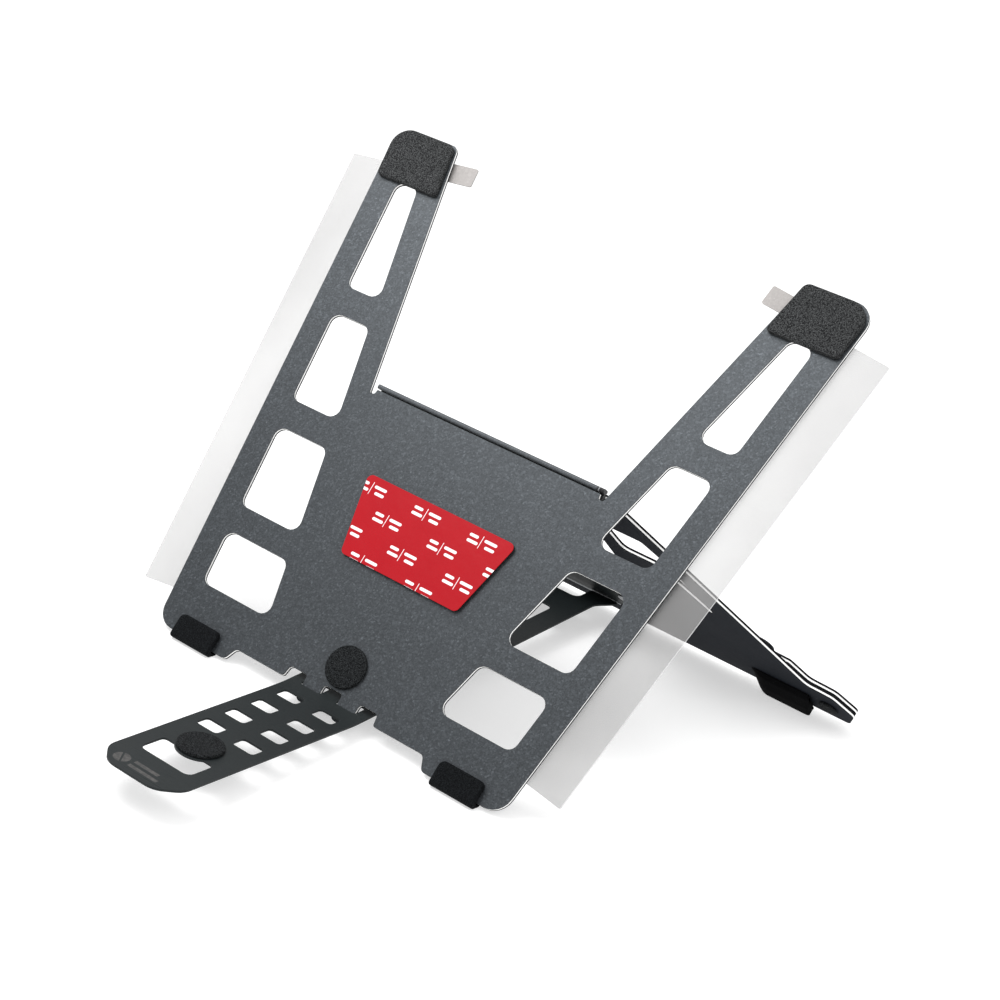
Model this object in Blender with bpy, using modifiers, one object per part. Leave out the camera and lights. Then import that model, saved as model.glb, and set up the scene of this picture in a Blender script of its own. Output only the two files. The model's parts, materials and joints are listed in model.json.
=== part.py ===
"""Folding laptop stand: a slanted front plate with two arms, a rear leg that folds up behind it,
a perforated locking strip that ties the leg to the plate, and two sliding side wings."""
import math

import bmesh
import bpy
from mathutils import Matrix, Vector

MM = 0.001

# ---------------------------------------------------------------- driving sizes, in millimetres
SHEET = 2.0             # thickness of the aluminium and plastic sandwich sheet
GAP = 0.3               # clearance between neighbouring pieces
APEX_DEG = 85.0         # angle between the front plate and the rear leg
PLATE_REACH = 130.0     # hinge line to the table, measured down the plate

ARM_TOP = 110.4         # arm tips above the hinge line
OUTER_HALF = 104.65     # half width of the plate at the hinge line
OUTER_LEAN = 0.128      # outward lean of the outer edges
INNER_LEAN = 0.2437     # outward lean of the arms' inner edges
RAIL = 11.7             # width of the outer rails beside the windows
WINDOW_LEAN = 0.26      # outward lean of the windows' inner sides
WINDOW_R = 4.2

STRIP_HALF = 19.8       # half width of the locking strip
STRIP_THICK = 0.9
STRIP_TOP = 7.8         # top of the strip above the table where it crosses the plate
HOLE_L = 7.0            # locking holes, along the strip
HOLE_PITCH = 15.0
HOLE_ROWS = 5
NOSE_RISE_DEG = 3.7     # upward tilt of the free end

LEG_TOP = 1.5           # leg sheet starts this far from the hinge axis
LEG_LEN = 143.2
LEG_FLARE = 0.567       # outward lean of the leg's side edges
FOOT_DROP = 5.19        # rubber foot below the leg's front face

WING_OUT = 16.8         # wing showing beyond the plate's outer edge
WING_IN = 10.0          # wing hidden behind the rail
WING_THICK = 0.5
GUIDE_THICK = 0.6
PAD_THICK = 2.2

# ---------------------------------------------------------------- derived places
BACK = -SHEET
WING_N0 = BACK - GAP
WING_N1 = WING_N0 - WING_THICK
COVER_N0 = WING_N1 - GAP
COVER_N1 = COVER_N0 - GUIDE_THICK
AXIS_V = -0.3
AXIS_N = COVER_N1 - 0.4
LIP_BACK = COVER_N1
STRIP_LIFT = 0.8        # strip hinge axis in front of the leg's front face
LOBE_BOTTOM = 2.8 - PLATE_REACH     # lower edge of the two side lobes
EDGE_BOTTOM = 8.6 - PLATE_REACH     # lower edge between the lobes
COMB_TOP = EDGE_BOTTOM + 4.9
HOOK_END = LOBE_BOTTOM + 0.2
UP, DOWN = ARM_TOP / 110.4, PLATE_REACH / 130.0
WINDOW_SPANS = ((34.6 * UP, ARM_TOP - 24.0), (-19.5 * DOWN, 22.1 * DOWN),
                (-68.9 * DOWN, -32.1 * DOWN), (-104.4 * DOWN, -80.5 * DOWN))
INNER_HALF = 0.57047 * OUTER_HALF   # half width of the gap between the arms at the hinge line
WINDOW_HALF = 0.67367 * OUTER_HALF  # inner side of the windows at the hinge line
WING_LOW, WING_HIGH = LOBE_BOTTOM + 14.6, ARM_TOP - 16.0

HOLE_X = 0.457 * STRIP_HALF
HOLE_W = 0.52 * STRIP_HALF
ROW0 = 0.65 - HOLE_L / 2            # the first row of holes sits on the plate's hooks
NOSE_PAD = ROW0 + (HOLE_ROWS - 1) * HOLE_PITCH + 15.95
STRIP_NOSE = NOSE_PAD + 36.5        # strip in front of the plate
LAND_R = 0.48 * STRIP_HALF          # land around the strip's round pad

LEG_HALF = INNER_HALF - 2.2         # half width of the leg at the hinge
FLARE_W = LEG_LEN - 24.6            # where the side edges end, measured down the leg
TOE_HALF = LEG_HALF + LEG_FLARE * (FLARE_W - LEG_TOP) + 21.1
FLANGE_W = LEG_LEN - 13.2           # strip hinge line, measured down the leg
FOOT_W = LEG_LEN - 1.2              # lowest line of the rubber feet, measured down the leg

# The plate's lower edge and the feet stand on one table, which gives the plate's slope.
APEX = math.radians(APEX_DEG)
_down = Vector((-math.cos(APEX), -math.sin(APEX)))
_drop = Vector((-math.sin(APEX), math.cos(APEX)))
_foot = Vector((AXIS_V, AXIS_N)) + _down * FOOT_W + _drop * FOOT_DROP
LEAN = math.atan2(-_foot.y, PLATE_REACH + _foot.x)

PLATE_V = Vector((0.0, math.cos(LEAN), math.sin(LEAN)))
PLATE_N = Vector((0.0, -math.sin(LEAN), math.cos(LEAN)))
HINGE_Z = PLATE_REACH * math.sin(LEAN)


def frame_of(origin, ax, ay, az):
    """Matrix whose local X, Y and Z run along the three given directions."""
    m = Matrix((ax, ay, az)).transposed().to_4x4()
    m.translation = origin
    return m


PLATE = frame_of(Vector((0, 0, HINGE_Z)), Vector((1, 0, 0)), PLATE_V, PLATE_N)
AXIS = PLATE @ Vector((0, AXIS_V, AXIS_N))

# The leg frame: X across, Y down the leg from the hinge, Z towards the table.
LEG_SLOPE = math.pi - LEAN - APEX
LEG_Y = Vector((0, math.cos(LEG_SLOPE), -math.sin(LEG_SLOPE)))
LEG_Z = Vector((0, -math.sin(LEG_SLOPE), -math.cos(LEG_SLOPE)))
LEG = frame_of(AXIS, Vector((-1, 0, 0)), LEG_Y, LEG_Z)

# The strip frame: Y forwards from the plate, Z up; the rear end meets the leg.
STRIP_AXIS = LEG @ Vector((0, FLANGE_W, STRIP_LIFT))
_v = (STRIP_TOP - STRIP_THICK / 2) / math.sin(LEAN) - PLATE_REACH
COMB = PLATE @ Vector((0, _v, 0))
STRIP_Y = (COMB - STRIP_AXIS).normalized()
STRIP_REAR = (COMB - STRIP_AXIS).length
STRIP_X = Vector((-1, 0, 0))
STRIP = frame_of(COMB, STRIP_X, STRIP_Y, STRIP_X.cross(STRIP_Y))

# ---------------------------------------------------------------- scene and materials
for old in list(bpy.data.objects):
    bpy.data.objects.remove(old, do_unlink=True)

HOME = bpy.data.collections.new("laptop_stand")
bpy.context.scene.collection.children.link(HOME)
CUTTERS = bpy.data.collections.new("cutters")
bpy.context.scene.collection.children.link(CUTTERS)


def material(name, rgb, rough, metal=0.0, alpha=1.0):
    """One plain surface for one piece."""
    mat = bpy.data.materials.new(name)
    mat.use_nodes = True
    shader = mat.node_tree.nodes["Principled BSDF"]
    shader.inputs["Base Color"].default_value = (*rgb, 1.0)
    shader.inputs["Roughness"].default_value = rough
    shader.inputs["Metallic"].default_value = metal
    shader.inputs["Alpha"].default_value = alpha
    mat.diffuse_color = (*rgb, alpha)
    return mat


LOOKS = {
    "sheet": ((0.13, 0.15, 0.17), 0.45, 0.6, 1.0),
    "black": ((0.03, 0.033, 0.036), 0.5, 0.0, 1.0),
    "strip": ((0.045, 0.05, 0.052), 0.45, 0.0, 1.0),
    "foam": ((0.02, 0.02, 0.022), 0.95, 0.0, 1.0),
    "rubber": ((0.01, 0.01, 0.011), 0.8, 0.0, 1.0),
    "red": ((0.6, 0.015, 0.025), 0.35, 0.0, 1.0),
    "clear": ((0.85, 0.86, 0.86), 0.2, 0.0, 0.4),
    "frost": ((0.6, 0.58, 0.56), 0.6, 0.0, 1.0),
    "steel": ((0.4, 0.4, 0.4), 0.35, 1.0, 1.0),
}


def scaled(matrix):
    """The same frame with its place in metres, for meshes already in metres."""
    out = matrix.copy()
    out.translation = matrix.translation * MM
    return out


def finish(name, look, mesh, matrix, pivot=None):
    """Name a mesh held in millimetres, put it in place, and set its origin on the pivot."""
    mesh.transform(Matrix.Scale(MM, 4))
    mesh.transform(scaled(matrix))
    spot = (pivot if pivot is not None else Vector((0, 0, 0))) * MM
    mesh.transform(Matrix.Translation(-spot))
    if mesh_volume(mesh) < 0:
        mesh.flip_normals()
    mesh.name = name
    obj = bpy.data.objects.new(name, mesh)
    obj.location = spot
    HOME.objects.link(obj)
    rgb, rough, metal, alpha = LOOKS[look]
    mesh.materials.clear()
    mesh.materials.append(material(name, rgb, rough, metal, alpha))
    return obj


def mesh_volume(mesh):
    """Signed volume of a mesh."""
    bm = bmesh.new()
    bm.from_mesh(mesh)
    vol = bm.calc_volume(signed=True)
    bm.free()
    return vol


def rounded(points, steps=6):
    """Corner points (x, y, radius) to a closed outline with rounded corners."""
    out = []
    count = len(points)
    for i, (x, y, r) in enumerate(points):
        here = Vector((x, y))
        a = Vector(points[i - 1][:2]) - here
        b = Vector(points[(i + 1) % count][:2]) - here
        la, lb = a.length, b.length
        a.normalize()
        b.normalize()
        half = a.angle(b) / 2
        if r <= 0 or half > math.radians(88.5):
            out.append((x, y))
            continue
        back = min(r / math.tan(half), 0.48 * la, 0.48 * lb)
        radius = back * math.tan(half)
        centre = here + (a + b).normalized() * (radius / math.sin(half))
        start = here + a * back - centre
        turn = math.pi - 2 * half
        sign = 1.0 if a.x * b.y - a.y * b.x < 0 else -1.0
        for k in range(steps + 1):
            ang = sign * turn * k / steps
            c, s = math.cos(ang), math.sin(ang)
            out.append((centre.x + start.x * c - start.y * s,
                        centre.y + start.x * s + start.y * c))
    return out


def circle(x, y, r, steps=32):
    """A round outline."""
    return [(x + r * math.cos(2 * math.pi * k / steps), y + r * math.sin(2 * math.pi * k / steps))
            for k in range(steps)]


def slab(outlines, low, high):
    """A flat plate between two heights from one outline and its holes."""
    curve = bpy.data.curves.new("flat", "CURVE")
    curve.dimensions = "2D"
    curve.fill_mode = "BOTH"
    curve.extrude = (high - low) / 2
    for line in outlines:
        spline = curve.splines.new("POLY")
        spline.points.add(len(line) - 1)
        for point, (x, y) in zip(spline.points, line):
            point.co = (x, y, 0, 1)
        spline.use_cyclic_u = True
    holder = bpy.data.objects.new("flat", curve)
    CUTTERS.objects.link(holder)
    mesh = bpy.data.meshes.new_from_object(holder)
    bpy.data.objects.remove(holder, do_unlink=True)
    bm = bmesh.new()
    bm.from_mesh(mesh)
    bmesh.ops.remove_doubles(bm, verts=bm.verts, dist=0.002)
    bmesh.ops.recalc_face_normals(bm, faces=bm.faces)
    bm.to_mesh(mesh)
    bm.free()
    mesh.transform(Matrix.Translation((0, 0, (low + high) / 2)))
    return mesh


def softened(obj, width, segments=2):
    """Round an object's edges with a bevel."""
    mod = obj.modifiers.new("soft", "BEVEL")
    mod.width = width * MM
    mod.segments = segments
    mod.limit_method = "ANGLE"
    mod.angle_limit = math.radians(40)
    return obj


def mirrored(line, sign):
    """An outline on the right side, or its reflection on the left."""
    return [(sign * p[0], *p[1:]) for p in line]


def side_frame(base, x0, sign):
    """Frame for a profile drawn in (down, out) and extruded across: local Z runs across."""
    ax = base.to_3x3() @ Vector((0, 1, 0))
    ay = base.to_3x3() @ Vector((0, 0, 1))
    az = base.to_3x3() @ Vector((sign, 0, 0))
    return frame_of(base @ Vector((sign * x0, 0, 0)), ax, ay, az)


# ---------------------------------------------------------------- the front plate
def outer_x(v):
    """Half width of the plate at height v."""
    return OUTER_HALF + OUTER_LEAN * v


def inner_x(v):
    """Half width of the gap between the arms at height v."""
    return INNER_HALF + INNER_LEAN * v


LOBE_IN = 0.576 * outer_x(LOBE_BOTTOM)
HOOK_IN = HOLE_X - HOLE_W / 2 + 0.9
HOOK_OUT = HOLE_X + HOLE_W / 2 - 0.9

half_outline = [
    (LEG_HALF - 1.2, -0.5, 0.3), (LEG_HALF - 0.8, -2.8, 1.0), (inner_x(-2.8), -2.8, 1.1),
    (inner_x(ARM_TOP), ARM_TOP, 3.2), (outer_x(ARM_TOP), ARM_TOP, 8.0),
    (outer_x(LOBE_BOTTOM), LOBE_BOTTOM, 8.6), (LOBE_IN, LOBE_BOTTOM, 2.4),
    (LOBE_IN - 2.7, EDGE_BOTTOM, 2.4), (STRIP_HALF + 3.4, EDGE_BOTTOM, 1.2),
    (STRIP_HALF + 2.6, COMB_TOP, 1.6), (HOOK_OUT + 0.3, COMB_TOP, 1.4),
    (HOOK_OUT, HOOK_END, 2.6), (HOOK_IN, HOOK_END, 2.6), (HOOK_IN - 0.3, COMB_TOP, 1.4),
]
plate_outline = half_outline + [(-x, y, r) for x, y, r in reversed(half_outline)]
plate_lines = [rounded(plate_outline)]
for sign in (1, -1):
    for low, high in WINDOW_SPANS:
        quad = [(WINDOW_HALF + WINDOW_LEAN * low, low, WINDOW_R),
                (outer_x(low) - RAIL, low, WINDOW_R),
                (outer_x(high) - RAIL, high, WINDOW_R),
                (WINDOW_HALF + WINDOW_LEAN * high, high, WINDOW_R)]
        plate_lines.append(rounded(mirrored(quad, sign), 5))
finish("front_plate", "sheet", slab(plate_lines, BACK, 0.0), PLATE)

bead = rounded([(0.3, -0.1, 0.6), (2.2, -0.1, 0.9), (2.2, -3.4, 0.9), (1.0, -3.4, 0.3),
                (1.0, -2.3, 0.0), (0.3, -2.3, 0.0)], 5)
finish("hinge_bead", "sheet", slab([bead], 0, 2 * LEG_HALF - 0.6),
       side_frame(PLATE, -(LEG_HALF - 0.3), 1))
finish("hinge_pin", "black", slab([circle(AXIS_V, AXIS_N, 1.2, 16)], 0, 2 * LEG_HALF - 2),
       side_frame(PLATE, -(LEG_HALF - 1), 1))

PAD_LOW, PAD_HIGH = ARM_TOP - 24.9, ARM_TOP - 0.6
arm_pad = [(inner_x(PAD_LOW) + 1.4, PAD_LOW, 1.5), (inner_x(PAD_HIGH) + 0.6, PAD_HIGH, 3.0),
           (outer_x(PAD_HIGH) - 0.8, PAD_HIGH, 7.6), (outer_x(PAD_LOW) - 1.4, PAD_LOW, 1.5)]
LIP_X0, LIP_X1 = LOBE_IN + 6.3, outer_x(LOBE_BOTTOM) - 10.5


def table_v(n):
    """Plate height at which the table is met, for a point n in front of the plate."""
    return -PLATE_REACH - n / math.tan(LEAN)


LIP_TOP = LOBE_BOTTOM + 8.0
lip = [(LIP_TOP, GAP), (LIP_TOP, 2.6), (LIP_TOP - 0.4, 3.0), (1.0 - PLATE_REACH, 3.0),
       (0.1 - PLATE_REACH, 1.6), (table_v(0.0), 0.0), (table_v(LIP_BACK), LIP_BACK),
       (LIP_TOP - 0.3, LIP_BACK), (LIP_TOP - 0.3, BACK - GAP),
       (LOBE_BOTTOM - GAP, BACK - GAP), (LOBE_BOTTOM - GAP, GAP)]

for tag, sign in (("R", 1), ("L", -1)):
    pad = finish("arm_pad_" + tag, "foam",
                 slab([rounded(mirrored(arm_pad, sign))], GAP, GAP + PAD_THICK), PLATE)
    softened(pad, 0.6)
    lip_pad = finish("lip_pad_" + tag, "foam", slab([lip], 0, LIP_X1 - LIP_X0),
                     side_frame(PLATE, LIP_X0, sign))
    softened(lip_pad, 0.35)

PAD_V = COMB_TOP + 9.9
PAD_R = 8.9
softened(finish("plate_pad", "foam", slab([circle(0, PAD_V, PAD_R, 40)], GAP, GAP + 1.3), PLATE),
         0.4)

tape = [(-37.6, -33.5 * DOWN, 2.4), (37.6, -33.5 * DOWN, 2.4), (29.4, -67.6 * DOWN, 2.4),
        (-29.4, -67.6 * DOWN, 2.4)]
finish("tape_foam", "black", slab([rounded(tape)], GAP, GAP + 0.7), PLATE)
finish("tape_liner", "red", slab([rounded(tape)], 2 * GAP + 0.7, 2 * GAP + 0.95), PLATE)


# ---------------------------------------------------------------- the sliding wings
def rail_frame(sign):
    """Frame along a plate edge: X outwards across the edge, Y up the edge, Z to the front."""
    up = Vector((sign * OUTER_LEAN, 1, 0)).normalized()
    out = Vector((sign * 1.0, -OUTER_LEAN, 0)).normalized()
    rot = PLATE.to_3x3()
    return frame_of(PLATE @ Vector((sign * OUTER_HALF, 0, 0)), rot @ out, rot @ up,
                    rot @ Vector((0, 0, 1)))


ARM_W = outer_x(WING_HIGH) - inner_x(WING_HIGH)
WING_BAR = ARM_W - 4.0              # inner end of the bar that carries the tab
TAB_IN = ARM_W + 10.2               # inner end of the grip tab
wing = [(WING_OUT, WING_LOW, 0.8), (-WING_IN, WING_LOW, 0.8), (-WING_IN, WING_HIGH - 8, 1.5),
        (-WING_BAR, WING_HIGH - 6, 1.5), (-WING_BAR, WING_HIGH + 6.6, 1.0),
        (-WING_IN - 0.2, WING_HIGH + 6.6, 1.0), (-WING_IN - 0.2, WING_HIGH, 0.5),
        (WING_OUT, WING_HIGH, 0.8)]
tab = [(-TAB_IN, WING_HIGH - 2.2, 0.8), (10 - ARM_W, WING_HIGH - 2.2, 0.8),
       (10 - ARM_W, WING_HIGH + 6.4, 0.8), (-TAB_IN, WING_HIGH + 6.4, 0.8)]
FOOT_LOW, FOOT_HIGH = WING_LOW - 5.9, WING_HIGH + 8.6
guide = [(FOOT_LOW, WING_N0), (WING_LOW - 1, WING_N0), (WING_LOW - 1, COVER_N0),
         (WING_HIGH + 1, COVER_N0), (WING_HIGH + 1, WING_N0), (FOOT_HIGH, WING_N0),
         (FOOT_HIGH, COVER_N1), (FOOT_LOW, COVER_N1)]
for tag, sign in (("R", 1), ("L", -1)):
    rail = rail_frame(sign)
    pivot = rail.translation
    finish("wing_" + tag, "clear", slab([rounded(wing, 3)], WING_N1, WING_N0), rail, pivot)
    finish("wing_tab_" + tag, "frost", slab([rounded(tab, 3)], COVER_N1, COVER_N0), rail, pivot)
    rot = rail.to_3x3()
    across = frame_of(rail @ Vector((-9.3, 0, 0)), rot @ Vector((0, 1, 0)),
                      rot @ Vector((0, 0, 1)), rot @ Vector((1, 0, 0)))
    finish("wing_guide_" + tag, "black", slab([guide], 0, 7.8), across)

# ---------------------------------------------------------------- the rear leg
def leg_x(w):
    """Half width of the leg at a distance w down from the hinge."""
    return LEG_HALF + LEG_FLARE * (w - LEG_TOP)


half_leg = [(LEG_HALF, LEG_TOP, 1.0), (leg_x(FLARE_W), FLARE_W, 5.0),
            (TOE_HALF - 8.5, FLARE_W + 1.3, 5.0), (TOE_HALF, FLARE_W + 12.9, 4.0),
            (TOE_HALF - 4.0, LEG_LEN, 2.6)]
leg_lines = [rounded(half_leg + [(-x, y, r) for x, y, r in reversed(half_leg)])]
open_low, slot_low = LEG_LEN - 39.2, LEG_LEN - 51.7
leg_lines.append(rounded([(20.5 - LEG_HALF, 33.2, 4), (LEG_HALF - 20.5, 33.2, 4),
                          (LEG_HALF - 10.0, open_low, 6), (10.0 - LEG_HALF, open_low, 6)]))
slot = [(LEG_HALF - 13.0, 33.2, 2.5), (leg_x(33.2) - 11.1, 33.2, 2.5),
        (leg_x(42.8) - 9.9, 42.8, 4.0), (leg_x(slot_low) - 16.9, slot_low, 1.2),
        (leg_x(53.3) - 20.7, 53.3, 4.0), (LEG_HALF - 8.0, 53.3, 4.0)]
for sign in (1, -1):
    leg_lines.append(rounded(mirrored(slot, sign)))
# In the leg frame local Z points to the table side, so the sheet lies from -SHEET to 0.
finish("leg_frame", "sheet", slab(leg_lines, -SHEET, 0.0), LEG, AXIS)

BACK_L = -SHEET - GAP
edge_w = LEG_LEN - 36.2
doubler = [(TOE_HALF - 61.0, LEG_LEN - 51.2, 3.0), (TOE_HALF - 54.0, LEG_LEN - 38.2, 3.0),
           (leg_x(edge_w) - 0.6, edge_w, 1.5),
           (leg_x(FLARE_W), FLARE_W, 5.0), (TOE_HALF - 8.5, FLARE_W + 1.3, 5.0),
           (TOE_HALF, FLARE_W + 12.9, 4.0), (TOE_HALF - 4.0, LEG_LEN, 2.6),
           (TOE_HALF - 61.0, LEG_LEN, 2.6)]


def table_d(w):
    """Drop from the leg's front face to the table at a distance w down the leg."""
    return (AXIS.z - w * math.sin(LEG_SLOPE)) / math.cos(LEG_SLOPE)


foot = [(LEG_LEN - 14.6, GAP), (LEG_LEN - 12.6, 2.4), (LEG_LEN - 7.0, 4.4), (FOOT_W, table_d(FOOT_W)),
        (LEG_LEN - 0.1, table_d(LEG_LEN - 0.1)), (LEG_LEN + 0.1, GAP)]
for tag, sign in (("R", 1), ("L", -1)):
    # the leg frame's X points to the left, so its sides are swapped
    hand = -sign
    finish("leg_doubler_" + tag, "sheet",
           slab([rounded(mirrored(doubler, hand))], BACK_L - SHEET, BACK_L), LEG, AXIS)
    softened(finish("foot_" + tag, "rubber", slab([foot], 0, 29.0), side_frame(LEG, TOE_HALF - 50.0, hand),
                    AXIS), 0.5)
    finish("toe_pad_" + tag, "foam",
           slab([circle(hand * (TOE_HALF - 12.0), LEG_LEN - 10.2, 4.5, 24)], GAP, GAP + 1.0),
           LEG, AXIS)
    finish("back_pad_" + tag, "foam",
           slab([circle(hand * (leg_x(LEG_LEN - 44.7) - 7.4), LEG_LEN - 44.7, 6.0, 24)],
                BACK_L - 1.0, BACK_L), LEG, AXIS)

FL0, FL1 = STRIP_LIFT - 0.4, STRIP_LIFT + 0.4
TAIL_HALF = STRIP_HALF + 6.8
wide = TAIL_HALF + 11.0
flange = [(-wide, FLANGE_W - 18.0, 3.0), (wide, FLANGE_W - 18.0, 3.0),
          (wide, FLANGE_W - 8.5, 3.0), (TAIL_HALF, FLANGE_W - 2.2, 2.0),
          (-TAIL_HALF, FLANGE_W - 2.2, 2.0), (-wide, FLANGE_W - 8.5, 3.0)]
finish("strip_flange", "strip", slab([rounded(flange)], FL0, FL1), LEG, AXIS)
for tag, sign in (("R", 1), ("L", -1)):
    finish("flange_rivet_" + tag, "steel",
           slab([circle(-sign * (TAIL_HALF + 5.0), FLANGE_W - 13.0, 2.3, 20)],
                FL1 + GAP, FL1 + GAP + 0.4), LEG, AXIS)
finish("strip_pin", "steel", slab([circle(FLANGE_W, STRIP_LIFT, 0.5, 12)], 0, 2 * TAIL_HALF),
       side_frame(LEG, -TAIL_HALF, 1), AXIS)

# ---------------------------------------------------------------- the locking strip
TAIL = -STRIP_REAR + 1.2
half_strip = [(STRIP_HALF, TAIL + 10.5, 8.0), (TAIL_HALF, TAIL, 1.2), (11.0, TAIL, 1.0),
              (11.0, TAIL + 12.0, 3.5)]
nose = [(STRIP_HALF - 1.0, STRIP_NOSE - 8.2, 9.0), (STRIP_HALF - 8.4, STRIP_NOSE, 9.0)]
outline = (nose[::-1] + half_strip)
strip_lines = [rounded(outline + [(-x, y, r) for x, y, r in reversed(outline)])]
for row in range(HOLE_ROWS):
    mid = ROW0 + row * HOLE_PITCH
    for sign in (1, -1):
        hole = [(HOLE_X - HOLE_W / 2, mid - HOLE_L / 2, 1.6),
                (HOLE_X + HOLE_W / 2, mid - HOLE_L / 2, 1.6),
                (HOLE_X + HOLE_W / 2, mid + HOLE_L / 2, 1.6),
                (HOLE_X - HOLE_W / 2, mid + HOLE_L / 2, 1.6)]
        strip_lines.append(rounded(mirrored(hole, sign), 4))
# long rear window
half = STRIP_HALF - 10.2
strip_lines.append(rounded([(-half, TAIL + 29, 3), (half, TAIL + 29, 3), (half, TAIL + 67, 3),
                            (-half, TAIL + 67, 3)], 4))
# finger window in the free end, scalloped around the round pad's land
low, high, wide = NOSE_PAD + 6.1, NOSE_PAD + 19.3, 0.616 * STRIP_HALF
reach = math.sqrt(LAND_R ** 2 - (low - NOSE_PAD) ** 2)
arc0 = math.atan2(low - NOSE_PAD, reach)
scallop = [(LAND_R * math.cos(a), NOSE_PAD + LAND_R * math.sin(a), 0)
           for a in [arc0 + (math.pi - 2 * arc0) * k / 10 for k in range(11)]]
window = ([(wide, high, 3.0), (wide, low, 1.8)] + scallop
          + [(-wide, low, 1.8), (-wide, high, 3.0)])
strip_lines.append(rounded(window, 4))


def bend(mesh, start, angle, cuts=5, span=6.0):
    """Curl the part of a flat sheet beyond start upwards by a total angle."""
    bm = bmesh.new()
    bm.from_mesh(mesh)
    for k in range(cuts):
        line = start + span * k / max(1, cuts - 1)
        bmesh.ops.bisect_plane(bm, geom=bm.verts[:] + bm.edges[:] + bm.faces[:], dist=0.0005,
                               plane_co=(0, line, 0), plane_no=(0, 1, 0))
    step = angle / cuts
    for vert in bm.verts:
        y, z, turn, hy, hz = vert.co.y, vert.co.z, 0.0, 0.0, 0.0
        last = None
        for k in range(cuts):
            line = start + span * k / max(1, cuts - 1)
            if vert.co.y <= line + 0.0004:
                break
            if last is None:
                hy, hz = line, 0.0
            else:
                hy += (line - last) * math.cos(turn)
                hz += (line - last) * math.sin(turn)
            turn += step
            last = line
        if last is not None:
            d = vert.co.y - last
            y = hy + d * math.cos(turn) - z * math.sin(turn)
            z = hz + d * math.sin(turn) + z * math.cos(turn)
            vert.co.y, vert.co.z = y, z
    bm.to_mesh(mesh)
    bm.free()
    return mesh


BEND_AT = 3.0
NOSE_TURN = math.radians(NOSE_RISE_DEG) - math.asin(STRIP_Y.z)
strip_mesh = slab(strip_lines, -STRIP_THICK / 2, STRIP_THICK / 2)
finish("strip", "strip", bend(strip_mesh, BEND_AT, NOSE_TURN), STRIP, STRIP_AXIS)
pad_mesh = slab([circle(0, NOSE_PAD, LAND_R - 0.5, 36)], STRIP_THICK / 2 + GAP, STRIP_THICK / 2 + GAP + 1.3)
softened(finish("strip_pad", "foam", bend(pad_mesh, BEND_AT, NOSE_TURN), STRIP, STRIP_AXIS), 0.4)

# ---------------------------------------------------------------- centre the stand on its base
bpy.context.view_layer.update()
corners = [obj.matrix_world @ Vector(c) for obj in HOME.objects for c in obj.bound_box]
low_y, high_y = min(c.y for c in corners), max(c.y for c in corners)
for obj in HOME.objects:
    obj.location.y -= (low_y + high_y) / 2
bpy.context.view_layer.update()
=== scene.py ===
"""Folding laptop stand: finishes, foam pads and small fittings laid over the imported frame."""
import json
import math

import bpy
import numpy as np
from bpy.props import FloatProperty, FloatVectorProperty, IntProperty, PointerProperty
from mathutils import Matrix, Vector


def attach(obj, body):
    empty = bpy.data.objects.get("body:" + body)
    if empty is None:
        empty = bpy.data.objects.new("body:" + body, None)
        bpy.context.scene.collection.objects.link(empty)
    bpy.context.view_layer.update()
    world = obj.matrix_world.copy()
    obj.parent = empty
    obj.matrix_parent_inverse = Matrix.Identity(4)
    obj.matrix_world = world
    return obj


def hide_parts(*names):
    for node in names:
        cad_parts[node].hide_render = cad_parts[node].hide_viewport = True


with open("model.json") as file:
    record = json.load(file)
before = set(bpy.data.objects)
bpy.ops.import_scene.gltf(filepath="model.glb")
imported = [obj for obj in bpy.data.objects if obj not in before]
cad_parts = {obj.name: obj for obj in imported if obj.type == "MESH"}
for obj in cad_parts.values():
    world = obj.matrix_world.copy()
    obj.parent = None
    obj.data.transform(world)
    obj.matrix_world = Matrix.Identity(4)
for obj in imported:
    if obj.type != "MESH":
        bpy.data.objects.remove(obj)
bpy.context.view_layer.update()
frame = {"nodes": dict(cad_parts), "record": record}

bl_info = {
    "name": "Folding laptop stand",
    "version": (1, 0, 0),
    "blender": (4, 5, 0),
    "location": "3D View > Sidebar > Laptop stand",
    "description": "Dresses the packed laptop stand in its sheet, foam, film and plastic finishes",
    "category": "Object",
}

MM = 0.001

# ---------------------------------------------------------------- where the sheets lie
RECORD = frame["record"]
JOINTS = {j["name"]: j for j in RECORD["behaviour"]["joints"]}
REST = next(m for m in RECORD["mounts"] if m["name"] == "laptop_rest")

X_AXIS = np.array((1.0, 0.0, 0.0))
PLATE_N = np.array(REST["axis"], float)
PLATE_N /= np.linalg.norm(PLATE_N)
PLATE_V = np.cross(PLATE_N, X_AXIS)
# The laptop rest is stated 20 mm below the hinge line, on the plate's front face.
PLATE_O = np.array(REST["pos_m"], float) + 0.020 * PLATE_V

HINGE = np.array(JOINTS["leg_fold"]["pos_m"], float)
APEX = math.radians(JOINTS["leg_fold"]["range_deg"][1])
RAIL_X = 104.65          # a rail's outer edge at the hinge line, across the plate
TOE_X = 132.54           # middle of the toe pads, across the leg, in millimetres
DOUBLER_FRONT = -2.3     # front of the leg's corner layers, above the leg's own front face
GLUE = 0.3               # a pad starts this far out of the sheet it is stuck on
LEG_W = -PLATE_V * math.cos(APEX) - PLATE_N * math.sin(APEX)    # down the leg
LEG_D = -PLATE_V * math.sin(APEX) + PLATE_N * math.cos(APEX)    # towards the table

NOSE_TILT = math.radians(3.7)
NOSE_Y = np.array((0.0, -math.cos(NOSE_TILT), math.sin(NOSE_TILT)))  # out along the free end
NOSE_N = np.array((0.0, math.sin(NOSE_TILT), math.cos(NOSE_TILT)))
BEND = HINGE + np.array((0.0, -0.079876, -0.093094))    # where the free end starts to rise

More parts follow.
